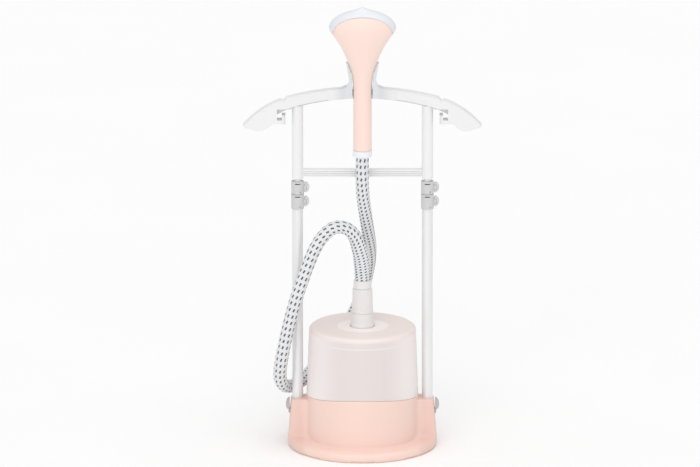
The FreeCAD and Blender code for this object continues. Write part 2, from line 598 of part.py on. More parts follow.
# ---------------------------------------------------------------- upper frame
def make_sleeves_and_bar():
    for side, sign in SIDES.items():
        done(tube("sleeve_radius", "inner_radius", "sleeve_foot", "sleeve_top", sign + "pole_spread"),
             "sleeve_" + side)
    bar = box("-pole_spread", "pole_spread", "-bar_depth / 2", "bar_depth / 2", "bar_foot",
              "bar_foot + bar_height")
    ribs = [box("-pole_spread", "pole_spread", "-bar_depth / 2", "1 - bar_depth / 2", "bar_foot + %s" % up,
                "bar_foot + %s + 1" % up) for up in (3, 6.5, 10)]
    ends = [cylinder("sleeve_radius", "30", s + "pole_spread", "0", "bar_foot - 5") for s in ("-", "")]
    done(cut(bar, *ribs, *ends), "cross_bar")


def hanger_outline():
    """The front outline of the hanger: an arched arm, a strap notch, a paddle and a small hook."""
    def arc(*points):
        return Part.Arc(*[Vector(x, 0, z) for x, z in points]).toShape()

    def lines(*points):
        return [Part.LineSegment(Vector(a[0], 0, a[1]), Vector(b[0], 0, b[1])).toShape()
                for a, b in zip(points, points[1:])]

    top = [arc((-141, 664), (0, value("arm_crown")), (141, 664))]
    under = [arc((130, 645.5), (0, value("arm_belly")), (-130, 645.5))]
    ends = []
    for sign in (1, -1):
        def at(x, z):
            return (sign * x, z)
        ends += lines(at(141, 664), at(145.5, 658), at(151.5, 660))
        ends.append(arc(at(151.5, 660), at(187, 641.5), at(219, 613)))
        ends.append(arc(at(219, 613), at(220.6, 610.6), at(218.4, 609)))
        ends += lines(at(218.4, 609), at(207, 606))
        ends.append(arc(at(207, 606), at(189, 602.6), at(173, 609)))
        ends += lines(at(173, 609), at(167.5, 615.5), at(142.5, 615.5), at(142.5, 632), at(149, 632),
                      at(149, 622.6), at(158, 622.6), at(158, 644), at(133, 644), at(130, 645.5))
    return Part.Face(Part.Wire(Part.__sortEdges__(top + under + ends)))


def make_hanger():
    depth = value("hanger_depth")
    plate = hanger_outline().extrude(Vector(0, depth, 0))
    plate.translate(Vector(0, -depth / 2, 0))
    webs = []
    for sign in (-1, 1):
        corners = [Vector(sign * x, 4, z) for x, z in ((128, 646), (158.5, 645), (158.5, 630), (128, 646))]
        web = Part.Face(Part.makePolygon(corners)).extrude(Vector(0, depth / 2 - 4, 0))
        webs.append(web)
    solid = plate.fuse(webs).removeSplitter()
    pockets = [cylinder("sleeve_radius + 0.1", "60", s + "pole_spread", "0", "sleeve_top - 59.9")
               for s in ("-", "")]
    bores = [cylinder("inner_radius", "20", s + "pole_spread", "0", "inner_tube_top - 19.9") for s in ("-", "")]
    holes = []
    for sign in ("-", ""):
        for radius, start, length in (("1.5", "-13", "26"), ("3", "9", "5")):
            holes.append(cylinder(radius, length, sign + "cradle_screw_reach", start, "cradle_screw_level",
                                  Vector(0, 1, 0)))
    done(cut(feature(solid), *pockets, *bores, *holes, belly_rebate()), "hanger")


def belly_rebate():
    """The shallow step along the front lower edge of the arm."""
    disc, core = [cylinder("arm_belly_radius " + grow, "2.6", "0", "-hanger_depth / 2",
                           "arm_belly - arm_belly_radius", Vector(0, 1, 0)) for grow in ("+ 2.4", "- 2")]
    return common(cut(disc, core), box("-128", "128", "-hanger_depth", "0", "640", "670"))


def make_cradle():
    """The open saddle in front of the arm, with two slim prongs that carry the flare of the hand unit."""
    front = [("18.7", "671.5"), ("18.7", "702"), ("21.3", "719.5"), ("27.7", "739"), ("30.3", "739"),
             ("27.3", "722"), ("24.9", "707"), ("25.6", "701"), ("27.6", "696"), ("30.6", "692.2"),
             ("34.6", "689.6"), ("40", "687.4"), ("48", "684.6"), ("64", "680.6"), ("64", "661.6"),
             ("44", "666.4"), ("28", "671.2")]
    plan = [("18.7", "-36"), ("27", "-36"), ("31", "-34.6"), ("64", "-11.3"), ("64", "-11.1"), ("18.7", "-11.1")]
    body = doc.addObject("PartDesign::Body", "gusset")
    sketch = outline_sketch(body, "XY_Plane", plan)
    pad = body.newObject("PartDesign::Pad", "pad")
    pad.Profile = sketch
    bind(pad, Length="90")
    place(body, z="655")
    side = cut(common(padded(front, "26", y="-23.5"), body), box("15", "65", "-24", "0", "691", "745"))
    bridge = box("-20", "20", "-12.3", "-11.1", "672", "682")
    holes = [cylinder("1.5", "10", sign + "cradle_screw_reach", "-20.5", "cradle_screw_level", Vector(0, 1, 0))
             for sign in ("-", "")]
    done(cut(fuse(side, mirrored(side), bridge), *holes), "hanger_cradle")
    reach, level = value("cradle_screw_reach"), value("cradle_screw_level")
    screws = [screw(Vector(x, 10.8, level), 31, 2.8, 1.8, 1.45, Vector(0, -1, 0)) for x in (-reach, reach)]
    done(feature(Part.makeCompound(screws)), "cradle_screws")


# ---------------------------------------------------------------- hand unit
# Sections of the hand unit: height, half width, half depth.
HEAD_SECTIONS = [
    (690, 17.1, 17.1), (702, 17.9, 17.5), (718, 20, 18.4), (732, 24.3, 19.8), (746, 29.5, 21.6),
    (760, 35.6, 23.8), (774, 43, 26.2), (787, 51.6, 28.4), (798, 59, 29.6), (807, 62, 29.4),
    (816, 58.4, 27.2), (822.5, 52.8, 24.2), (828.5, 45, 20), (833, 36, 15.6), (836.3, 26.4, 11.4),
    (839.3, 15.8, 7.4), (842.3, 6.6, 4), (844.4, 2.2, 2),
]


def head_loft(inset, foot):
    """The solid outline of the hand unit from its foot up, drawn in by the inset all round."""
    barrel, y, wires = value("barrel_radius"), value("hand_y"), []
    for level, wide, deep in [(foot, barrel, barrel)] + HEAD_SECTIONS:
        if min(wide, deep) - inset < 1.5:
            continue
        lowered = level - inset * max(0.0, (level - 780) / 64.0)
        ellipse = Part.Ellipse(Vector(0, y, lowered), wide - inset + 0.001, deep - inset)
        wires.append(Part.Wire([ellipse.toShape()]))
    return Part.makeLoft(wires, True, True)


def above_split(lift):
    """The room of the steam plate: above a steep plane in front and a flatter one at the rear."""
    blocks = []
    for tilt, y, z in (("front_split_tilt", -16, 806), ("rear_split_tilt", -15, 801)):
        block = Part.makeBox(400, 400, 300)
        block.translate(Vector(-200, -200, lift))
        block.rotate(Vector(), Vector(1, 0, 0), -value(tilt))
        block.translate(Vector(0, value("hand_y") + y, z))
        blocks.append(block)
    return blocks[0].common(blocks[1])


def make_hand_unit():
    y, foot, wall = value("hand_y"), value("barrel_foot"), value("shell_wall")
    outside = head_loft(0, foot)
    inside = head_loft(wall, foot - 2)
    deeper = head_loft(wall + 2.5, foot - 2)
    shell = outside.cut(inside).cut(above_split(0))
    front = Part.makeBox(200, 200, 400, Vector(-100, y - 200, 500))
    rear = Part.makeBox(200, 200, 400, Vector(-100, y, 500))
    seats = ((640, 16.2), (720, 17.6))
    holes = [Part.makeCylinder(1.4, 40, Vector(0, y + 5, level), Vector(0, 1, 0)) for level, _ in seats]
    holes += [Part.makeCylinder(2.8, 20, Vector(0, y + reach - 0.6, level), Vector(0, 1, 0))
              for level, reach in seats]
    done(feature(shell.common(front)), "handle_front_shell")
    done(feature(shell.common(rear).cut(holes)), "handle_rear_shell")
    screws = [screw(Vector(0, y + reach + 0.8, level), 6, 2.6, 1.4, 1.35, Vector(0, -1, 0))
              for level, reach in seats]
    done(feature(Part.makeCompound(screws)), "handle_screws")
    plate = outside.cut(inside).common(above_split(0.05))
    tilt = math.radians(value("hole_tilt"))
    normal, along = Vector(0, math.sin(tilt), math.cos(tilt)), Vector(0, -math.cos(tilt), math.sin(tilt))
    centre = Vector(0, y, 791)
    steam_holes = []
    for row, count in ((-18, 5), (-6, 7), (6, 7), (18, 5)):
        for i in range(count):
            across = (i - (count - 1) / 2) * 12
            steam_holes.append(Part.makeCylinder(1.5, 90, centre + Vector(across, 0, 0) + along * row, normal))
    done(feature(plate.cut(steam_holes)), "steam_plate")
    seal = inside.cut(deeper).common(above_split(-3.2)).cut(above_split(-0.2))
    done(feature(seal), "plate_seal")
    nozzle = Part.makeCone(8, 15, 24, Vector(0, y, 752)).cut(Part.makeCone(6.5, 13.5, 24, Vector(0, y, 752)))
    stem = Part.makeCylinder(8, 62, Vector(0, y, 690)).cut(Part.makeCylinder(6.5, 62, Vector(0, y, 690)))
    done(feature(nozzle.fuse(stem).removeSplitter()), "steam_tube")
    done(turned([("hose_radius + 0.7", "collar_foot"), ("17.2", "collar_foot"), ("18.2", "collar_foot + 1.5"),
                 ("17.8", "barrel_foot - 0.4"), ("hose_radius + 0.7", "barrel_foot - 0.4")], y="hand_y"),
         "handle_collar")


# ---------------------------------------------------------------- assembly and output
make_base_skirt()
make_base_shell()
make_base_pan()
make_feet()
make_column_cover()
for side, sign in SIDES.items():
    make_lock_lever(side, sign)
make_lock_lever_pins()
make_rear_fittings()
make_boiler()
make_water_path()
make_tank()
make_connector()
make_hose()
make_poles()
make_sleeves_and_bar()
make_hanger()
make_cradle()
make_hand_unit()

doc.recompute()
for obj in doc.Objects:
    if "Invalid" in obj.State or "Error" in obj.State:
        raise RuntimeError("%s (%s) failed: %s" % (obj.Name, obj.Label, obj.State))
for obj in parts:
    if obj.Shape.isNull() or not obj.Shape.isValid() or obj.Shape.Volume <= 0:
        raise RuntimeError("%s has no valid shape" % obj.Label)

os.makedirs("parts", exist_ok=True)
for obj in parts:
    obj.Shape.exportStep("parts/%s.step" % obj.Label)
    print("%-24s solids %2d  volume %10.0f" % (obj.Label, len(obj.Shape.Solids), obj.Shape.Volume))
print(len(parts), "sub-parts")
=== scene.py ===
import json
import math

import bmesh
import bpy
from mathutils import Matrix, Vector


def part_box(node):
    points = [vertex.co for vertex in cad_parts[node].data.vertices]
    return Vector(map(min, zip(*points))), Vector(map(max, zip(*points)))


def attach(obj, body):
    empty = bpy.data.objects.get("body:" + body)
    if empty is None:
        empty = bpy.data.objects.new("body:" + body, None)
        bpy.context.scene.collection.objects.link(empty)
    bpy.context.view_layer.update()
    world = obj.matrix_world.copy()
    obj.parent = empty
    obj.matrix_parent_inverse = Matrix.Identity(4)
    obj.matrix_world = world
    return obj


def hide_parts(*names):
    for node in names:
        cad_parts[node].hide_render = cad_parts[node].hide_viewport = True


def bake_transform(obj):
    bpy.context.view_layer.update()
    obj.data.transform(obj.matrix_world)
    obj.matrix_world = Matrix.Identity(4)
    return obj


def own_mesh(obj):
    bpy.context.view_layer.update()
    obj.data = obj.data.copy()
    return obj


# Upright garment steamer. Metres, +Z up, the front is -Y, the floor is z = 0.

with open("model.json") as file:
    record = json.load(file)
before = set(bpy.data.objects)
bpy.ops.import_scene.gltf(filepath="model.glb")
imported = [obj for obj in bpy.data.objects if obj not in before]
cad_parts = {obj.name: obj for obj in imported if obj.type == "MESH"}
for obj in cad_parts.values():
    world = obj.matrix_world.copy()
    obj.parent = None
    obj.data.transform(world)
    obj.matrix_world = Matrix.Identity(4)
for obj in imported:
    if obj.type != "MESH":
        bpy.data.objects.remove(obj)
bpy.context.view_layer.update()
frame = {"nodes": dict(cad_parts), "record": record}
nodes = frame["nodes"]

# ---------------------------------------------------------------- places read from the frame
HAND_Y = (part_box("handle_collar")[0].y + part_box("handle_collar")[1].y) / 2
BARREL_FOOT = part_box("handle_front_shell")[0].z
HEAD_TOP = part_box("steam_plate")[1].z
FOOT_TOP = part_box("feet")[1].z
RIM_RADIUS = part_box("base_skirt")[1].x
TRUNK_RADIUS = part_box("base_shell")[1].y
DECK_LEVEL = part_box("base_shell")[1].z
ARM_CENTRE, ARM_BELLY_RADIUS = 0.2103, 0.4542
POLE_REACH = (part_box("lower_tube_right")[0].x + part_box("lower_tube_right")[1].x) / 2
POLE_RADIUS = (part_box("lower_tube_right")[1].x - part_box("lower_tube_right")[0].x) / 2


# ---------------------------------------------------------------- camera
def make_camera():
    """A very long lens, far away: straight in front and a little above."""
    distance, elevation = 40.0, math.radians(15.5)
    field_width = 1.295
    sensor = 36.0
    aim = Vector((-0.0231, 0, 0.4034))
    camera = bpy.data.objects.new("camera", bpy.data.cameras.new("camera"))
    camera.data.sensor_width = sensor
    camera.data.lens = sensor * distance / field_width
    camera.data.clip_end = 200
    camera.location = aim + distance * Vector((0, -math.cos(elevation), math.sin(elevation)))
    camera.rotation_euler = (math.pi / 2 - elevation, 0, 0)
    bpy.context.scene.collection.objects.link(camera)
    bpy.context.scene.camera = camera


# ---------------------------------------------------------------- materials
def colour(red, green, blue):
    """A linear colour from its 0 to 255 display values."""
    def linear(v):
        v /= 255
        return v / 12.92 if v <= 0.04045 else ((v + 0.055) / 1.055) ** 2.4
    return (linear(red), linear(green), linear(blue), 1)


def deeper(base, share):
    """The same colour with each channel cut to a share of it."""
    return tuple(c * share for c in base[:3]) + (1,)


class Finish:
    """A material under construction, with short ways to add the nodes that most finishes share."""

    def __init__(self, name, base, roughness, **sockets):
        self.material = bpy.data.materials.new(name)
        self.material.use_nodes = True
        self.nodes = self.material.node_tree.nodes
        self.links = self.material.node_tree.links
        self.shader = self.nodes["Principled BSDF"]
        self.base = base
        self.shader.inputs["Base Color"].default_value = base
        self.shader.inputs["Roughness"].default_value = roughness
        for socket, value in sockets.items():
            self.shader.inputs[socket.replace("_", " ")].default_value = value
        self.where = self.nodes.new("ShaderNodeTexCoord").outputs["Object"]
        self.normal = None

    def stretched(self, scale, source=None):
        mapping = self.nodes.new("ShaderNodeMapping")
        mapping.inputs["Scale"].default_value = scale
        self.links.new(source or self.where, mapping.inputs["Vector"])
        return mapping.outputs["Vector"]

    def noise(self, scale, detail=3, source=None):
        node = self.nodes.new("ShaderNodeTexNoise")
        node.inputs["Scale"].default_value = scale
        node.inputs["Detail"].default_value = detail
        self.links.new(source or self.where, node.inputs["Vector"])
        return node.outputs["Fac"]

    def between(self, factor, low, high):
        node = self.nodes.new("ShaderNodeMapRange")
        node.inputs["To Min"].default_value = low
        node.inputs["To Max"].default_value = high
        self.links.new(factor, node.inputs["Value"])
        return node.outputs["Result"]

    def tint(self, factor, other, low=0.0, high=1.0):
        """Mixes the base colour towards another by a factor kept between low and high."""
        node = self.nodes.new("ShaderNodeMix")
        node.data_type = "RGBA"
        node.inputs["A"].default_value = self.base
        node.inputs["B"].default_value = other
        self.links.new(self.between(factor, low, high), node.inputs["Factor"])
        self.links.new(node.outputs["Result"], self.shader.inputs["Base Color"])

    def over(self, factor, other):
        """Mixes whatever colour there is so far towards another."""
        node = self.nodes.new("ShaderNodeMix")
        node.data_type = "RGBA"
        self.links.new(self.shader.inputs["Base Color"].links[0].from_socket, node.inputs["A"])
        node.inputs["B"].default_value = other
        self.links.new(factor, node.inputs["Factor"])
        self.links.new(node.outputs["Result"], self.shader.inputs["Base Color"])

    def ramp(self, value, edges, levels):
        """A number that goes smoothly through the levels at the edges of another number."""
        node = self.nodes.new("ShaderNodeMapRange")
        node.interpolation_type = "SMOOTHSTEP"
        for socket, number in zip(("From Min", "From Max", "To Min", "To Max"), (*edges, *levels)):
            node.inputs[socket].default_value = number
        self.links.new(value, node.inputs["Value"])
        return node.outputs["Result"]

    def product(self, first, second):
        node = self.nodes.new("ShaderNodeMath")
        node.operation = "MULTIPLY"
        self.links.new(first, node.inputs[0])
        self.links.new(second, node.inputs[1])
        return node.outputs[0]

    def length_of(self, vector):
        node = self.nodes.new("ShaderNodeVectorMath")
        node.operation = "LENGTH"
        self.links.new(vector, node.inputs[0])
        return node.outputs["Value"]

    def height_and_reach(self):
        """The height of a place and its distance from the upright axis."""
        split = self.nodes.new("ShaderNodeSeparateXYZ")
        self.links.new(self.where, split.inputs[0])
        return split.outputs["Z"], self.length_of(self.stretched((1, 1, 0)))

    def off_middle(self):
        """How far a place is to the left or right of the middle."""
        return self.length_of(self.stretched((1, 0, 0)))

    def from_axis(self, height):
        """Distance from the line that runs front to back at a height above the floor."""
        shift = self.nodes.new("ShaderNodeMapping")
        shift.inputs["Location"].default_value = (0, 0, -height)
        shift.inputs["Scale"].default_value = (1, 0, 1)
        self.links.new(self.where, shift.inputs["Vector"])
        return self.length_of(shift.outputs["Vector"])

    def roughen(self, factor, low, high):
        self.links.new(self.between(factor, low, high), self.shader.inputs["Roughness"])

    def bump(self, height, strength, distance=0.0002):
        node = self.nodes.new("ShaderNodeBump")
        node.inputs["Strength"].default_value = strength
        node.inputs["Distance"].default_value = distance
        self.links.new(height, node.inputs["Height"])
        if self.normal is not None:
            self.links.new(self.normal, node.inputs["Normal"])
        self.normal = node.outputs["Normal"]
        self.links.new(self.normal, self.shader.inputs["Normal"])


def moulding(name, base, roughness, grain=0.05):
    """Injection-moulded plastic: fine grain, faint flow marks and slightly uneven gloss."""
    finish = Finish(name, base, roughness)
    flow = finish.noise(1.0, 4, finish.stretched((14, 14, 5)))
    finish.tint(flow, deeper(base, 0.93), 0.0, 0.7)
    finish.roughen(finish.noise(160, 5), roughness - 0.06, roughness + 0.06)
    finish.bump(finish.noise(1500, 2), grain)
    return finish


def moulded(name, base, roughness, grain=0.05):
    return moulding(name, base, roughness, grain).material


def base_peach(name, base):
    """The base's plastic, with painted shade making it a little deeper on the shoulders and the ends of the
    rim.
    """
    finish = moulding(name, base, 0.36)
    # Painted shade: the shoulders and the ends of the rim are painted deeper.
    finish.over(finish.ramp(finish.off_middle(), (0.1, 0.116), (0, 0.7)), colour(233, 199, 188))
    return finish.material


def brushed(name, base, roughness, metallic=1.0):
    """Drawn or anodised metal with fine lines along Z."""
    finish = Finish(name, base, roughness, Metallic=metallic)
    lines = finish.noise(1.0, 6, finish.stretched((1400, 1400, 9)))
    finish.tint(finish.noise(1.0, 3, finish.stretched((60, 60, 4))), deeper(base, 0.86))
    finish.roughen(lines, roughness - 0.08, roughness + 0.1)
    finish.bump(lines, 0.08, 0.0001)
    return finish.material


def cast(name, base, roughness, metallic):
    """Cast or pressed metal and rubber, with a coarser skin."""
    finish = Finish(name, base, roughness, Metallic=metallic)
    finish.tint(finish.noise(90, 6), deeper(base, 0.75))
    finish.roughen(finish.noise(240, 4), roughness - 0.08, roughness + 0.12)
    finish.bump(finish.noise(700, 5), 0.25)
    return finish.material


def frosted(name, base, roughness, transmission):
    """Frosted translucent plastic: part of the light goes through, scattered by the fine matt skin."""
    finish = Finish(name, base, roughness, IOR=1.45)
    finish.shader.inputs["Transmission Weight"].default_value = transmission
    clouds = finish.noise(1.0, 4, finish.stretched((9, 9, 6)))
    finish.tint(clouds, deeper(base, 0.96))
    finish.roughen(finish.noise(120, 4), roughness - 0.05, roughness + 0.05)
    finish.bump(finish.noise(1100, 3), 0.06)
    return finish


def tank_wall(name, base):
    """The tank, with painted light: paler where its wall turns away and on its top, and lighter where the
    tunnel and the rim would show faintly through.
    """
    finish = frosted(name, base, 0.42, 0.02)
    # Painted light: the sides, where the wall turns away, are painted paler.
    finish.over(finish.ramp(finish.off_middle(), (0.035, 0.098), (0, 0.9)), colour(250, 243, 241))
    height, reach = finish.height_and_reach()
    # Painted light: the top is painted paler, most of all outside the tunnel.
    on_top = finish.ramp(height, (0.216, 0.222), (0, 1))
    painted_light_on_top = finish.product(on_top, finish.ramp(reach, (0.044, 0.052), (0.4, 1)))
    finish.over(painted_light_on_top, colour(243, 230, 226))
    # Painted light: the top over the tunnel is painted paler still, as if it showed through the wall.
    painted_light_over_tunnel = finish.product(on_top, finish.ramp(reach, (0.045, 0.050), (1, 0)))
    finish.over(painted_light_over_tunnel, colour(252, 243, 240))
    # Painted light: a faint pale line at the rim, fading towards the sides, as if it showed through the
    # wall.
    rim_foot = finish.ramp(height, (0.2052, 0.2066), (0, 1))
    rim_top = finish.ramp(height, (0.2078, 0.2092), (1, 0))
    fading = finish.ramp(finish.off_middle(), (0.04, 0.09), (0.6, 0))
    finish.over(finish.product(finish.product(rim_foot, rim_top), fading), colour(243, 237, 236))
    return finish.material


def arm_white(name, base):
    """The hanger arm: white, with painted shade on the rebate that runs along its lower edge."""
    finish = moulding(name, base, 0.34)
    belly = finish.from_axis(ARM_CENTRE)
    lip, top = ARM_BELLY_RADIUS + 0.0012, ARM_BELLY_RADIUS + 0.0034
    low_side = finish.ramp(belly, (ARM_BELLY_RADIUS, lip), (0.8, 1))
    high_side = finish.ramp(belly, (lip, top), (1, 0))
    before_hooks = finish.ramp(finish.off_middle(), (0.14, 0.15), (1, 0))
    # Painted shade: a grey band along the arm's lower edge, stopping before the hooks.
    finish.over(finish.product(finish.product(low_side, high_side), before_hooks), colour(205, 205, 206))
    return finish.material


def cradle_white(name, base, arm):
    """The cradle: a cooler white near the handle, deepened there with painted shade, that fades into the
    white of the arm.
    """
    finish = moulding(name, base, 0.34)
    # Its own cooler white plus painted shade near the handle, fading out into the arm's white.
    finish.over(finish.ramp(finish.off_middle(), (0.034, 0.058), (0, 1)), arm)
    return finish.material


def yarn(name, base, dark):
    """Woven yarn: fine fibres along each stitch, read from the jacket's own weave coordinates."""
    finish = Finish(name, base, 0.78, Sheen_Weight=0.25, Sheen_Roughness=0.5)
    weave = finish.nodes.new("ShaderNodeUVMap")
    weave.uv_map = "weave"
    fibres = finish.noise(1.0, 3, finish.stretched((260, 900, 1), weave.outputs["UV"]))
    finish.tint(fibres, dark, 0.0, 0.55)
    finish.bump(fibres, 0.5, 0.0003)
    return finish.material


def make_materials():
    return {
        "peach_plastic": base_peach("peach_plastic", colour(248, 217, 206)),
        "handle_peach": moulded("handle_peach", colour(252, 225, 214), 0.34),
        "frosted_plastic": tank_wall("frosted_plastic", colour(231, 221, 219)),
        "white_plastic": moulded("white_plastic", colour(241, 241, 241), 0.34),
        "cradle_plastic": moulded("cradle_plastic", colour(229, 232, 237), 0.34),
        "arm_plastic": arm_white("arm_plastic", colour(239, 239, 239)),
        # fork_plastic: its own cooler white, deepened with painted shade near the handle.
        "fork_plastic": cradle_white("fork_plastic", colour(223, 226, 230), colour(239, 239, 239)),
        "collar_plastic": moulded("collar_plastic", colour(242, 243, 248), 0.34),
        "lever_plastic": moulded("lever_plastic", colour(190, 187, 187), 0.42, grain=0.1),
        "grey_plastic": moulded("grey_plastic", colour(210, 210, 210), 0.42, grain=0.1),
        "pale_translucent": frosted("pale_translucent", colour(242, 239, 238), 0.35, 0.06).material,
        "aluminium_tube": brushed("aluminium_tube", colour(243, 243, 244), 0.42, 0.35),
        "cast_aluminium": cast("cast_aluminium", colour(190, 192, 195), 0.5, 1.0),
        "steel": brushed("steel", colour(190, 190, 192), 0.3),
        "rubber": cast("rubber", colour(232, 202, 188), 0.7, 0.0),
        "dark_rubber": cast("dark_rubber", colour(52, 52, 54), 0.65, 0.0),
        "dark_plastic": moulded("dark_plastic", colour(66, 66, 70), 0.45, grain=0.15),
        "hose_jacket": yarn("hose_jacket", colour(238, 239, 241), colour(205, 207, 211)),
        "hose_dash": yarn("hose_dash", colour(84, 85, 90), colour(54, 54, 58)),
        "black_composite": moulded("black_composite", colour(38, 38, 40), 0.5, grain=0.15),
    }


# Finishes of single CAD nodes that differ from the others in their slot.
OWN_FINISH = {"hanger": "arm_plastic", "hanger_cradle": "fork_plastic", "handle_collar": "collar_plastic",
              "lock_lever_left": "lever_plastic", "lock_lever_right": "lever_plastic"}
# Widths in millimetres of the rounded edges of CAD nodes.
EDGE_WIDTHS = {"hanger": 1.2, "hanger_cradle": 0.9, "cross_bar": 0.9, "lock_lever_left": 1.2,
               "lock_lever_right": 1.2, "connector_nut": 0.4, "connector_base": 0.5, "hose_ferrule": 0.5,
               "column_cover": 0.8, "tank_body": 0.6, "handle_collar": 0.5, "switch_frame": 0.6,
               "switch_rocker": 0.5, "cable_gland": 0.6}
EDGE_WIDTHS.update({"%s_clamp_%s%s" % (level, lever, side): 0.6 for level in ("lower", "upper")
                    for lever in ("", "lever_") for side in ("left", "right")})


def dress_nodes(materials):
    """Gives every CAD node the finish of its record slot or its own one, and rounds its sharp edges."""
    slots = {p["node"]: p["material_slot"] for p in frame["record"]["subparts"]}
    for name, node in nodes.items():
        node.data.materials.clear()
        node.data.materials.append(materials[OWN_FINISH.get(name, slots[name])])
        if name in EDGE_WIDTHS:
            round_edges(node, EDGE_WIDTHS[name] / 1000)


def round_edges(node, width):
    weld = node.modifiers.new("weld", "WELD")
    weld.merge_threshold = 0.00001
    bevel = node.modifiers.new("bevel", "BEVEL")
    bevel.width = width
    bevel.segments = 3
    bevel.limit_method = "ANGLE"
    bevel.angle_limit = math.radians(35)
    bevel.harden_normals = True


# ---------------------------------------------------------------- small mesh helpers
def new_piece(name, mesh, slot, body, *materials):
    piece = bpy.data.objects.new(name, mesh)
    bpy.context.scene.collection.objects.link(piece)
    for material in materials:
        mesh.materials.append(material)
    if body is not None:
        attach(piece, body)
    return piece


def grid_mesh(name, rings, closed_ends=(), wrap=True):
    """A mesh through rows of points, each a closed ring or not; closed_ends names the ends filled in."""
    mesh = bmesh.new()
    rows = [[mesh.verts.new(p) for p in ring] for ring in rings]
    count = len(rows[0])
    for low, high in zip(rows, rows[1:]):
        for i in range(count if wrap else count - 1):
            j = (i + 1) % count
            mesh.faces.new((low[i], low[j], high[j], high[i]))
    for end in closed_ends:
        row = rows[0] if end == "first" else rows[-1]
        middle = mesh.verts.new(sum((v.co for v in row), Vector()) / count)
        for i in range(count):
            a, b = row[i], row[(i + 1) % count]
            mesh.faces.new((middle, b, a) if end == "first" else (middle, a, b))
    data = bpy.data.meshes.new(name)
    mesh.to_mesh(data)
    mesh.free()
    data.polygons.foreach_set("use_smooth", [True] * len(data.polygons))
    return data


def smooth_track(points, x):
    """The values at x of a smooth curve through (x, y, ...) points, sloped by each point's neighbours."""
    if x <= points[0][0]:
        return points[0][1:]
    for i in range(len(points) - 1):
        a, b = points[i], points[i + 1]
        if x <= b[0]:
            before = points[i - 1] if i > 0 else a
            after = points[i + 2] if i + 2 < len(points) else b
            t, span = (x - a[0]) / (b[0] - a[0]), b[0] - a[0]
            values = []
            for k in range(1, len(a)):
                slope_a = (b[k] - before[k]) / (b[0] - before[0])
                slope_b = (after[k] - a[k]) / (after[0] - a[0])
                values.append((2 * t ** 3 - 3 * t ** 2 + 1) * a[k]
                              + (t ** 3 - 2 * t ** 2 + t) * span * slope_a
                              + (-2 * t ** 3 + 3 * t ** 2) * b[k]
                              + (t ** 3 - t ** 2) * span * slope_b)
            return values
    return points[-1][1:]


def carved(piece, cutters):
    """Cuts the closed shapes of one bmesh out of a piece and makes the result its mesh."""
    data = bpy.data.meshes.new("cutters")
    cutters.to_mesh(data)
    cutters.free()
    tool = bpy.data.objects.new("cutters", data)
    bpy.context.scene.collection.objects.link(tool)
    cut = piece.modifiers.new("openings", "BOOLEAN")
    cut.operation = "DIFFERENCE"
    cut.object = tool
    bpy.context.view_layer.update()
    result = bpy.data.meshes.new_from_object(piece.evaluated_get(bpy.context.evaluated_depsgraph_get()))
    piece.modifiers.clear()
    piece.data = result
    bpy.data.objects.remove(tool)
    result.set_sharp_from_angle(angle=math.radians(40))


def add_round(cutters, radius, start, finish):
    """Adds a round bar between two points to a bmesh of cutters."""
    start, finish = Vector(start), Vector(finish)
    turn = Vector((0, 0, 1)).rotation_difference(finish - start).to_matrix().to_4x4()
    place = Matrix.Translation((start + finish) / 2) @ turn
    bmesh.ops.create_cone(cutters, segments=48, radius1=radius, radius2=radius,
                          depth=(finish - start).length, cap_ends=True, matrix=place)


def add_block(cutters, low, high):
    low, high = Vector(low), Vector(high)
    place = Matrix.Translation((low + high) / 2) @ Matrix.Diagonal((*(high - low), 1))
    bmesh.ops.create_cube(cutters, size=1, matrix=place)


# ---------------------------------------------------------------- base
SKIRT_TOP = 0.0175
EAR_TOP = 0.089
SEAM_RADIUS, SEAM_CROWN = 0.45, 0.109
PLATEAU_RADIUS = TRUNK_RADIUS - 0.004
DECK_HOLE_RADIUS = 0.0465
# How far the shoulder stands out from the trunk, by degrees away from the sideways direction.
EAR_SHAPE = [(0, 1), (6.6, 1), (7.6, 0.975), (8.3, 0.89), (9.0, 0.69), (9.9, 0.45), (11.2, 0.225),
             (13, 0.086), (15.5, 0.02), (18, 0), (90, 0)]
# The openings in the skin: the tank valve's seat, the cable gland, the power switch and the lock levers.
VALVE_Y, VALVE_SEAT_RADIUS = 0.074, 0.0211
REAR_CUT = (0.09, 0.12)
GLAND_LEVEL, GLAND_RADIUS = 0.034, 0.00705
SWITCH_HALF_WIDTH, SWITCH_LEVELS = 0.0102, (0.0588, 0.0852)
LOCK_SLOT_REACH, LOCK_SLOT_HALF_WIDTH, LOCK_SLOT_LEVELS = (0.1300, 0.15), 0.009, (0.0575, 0.0682)


def off_side(angle):
    return math.degrees(math.asin(min(1, abs(math.sin(angle)))))


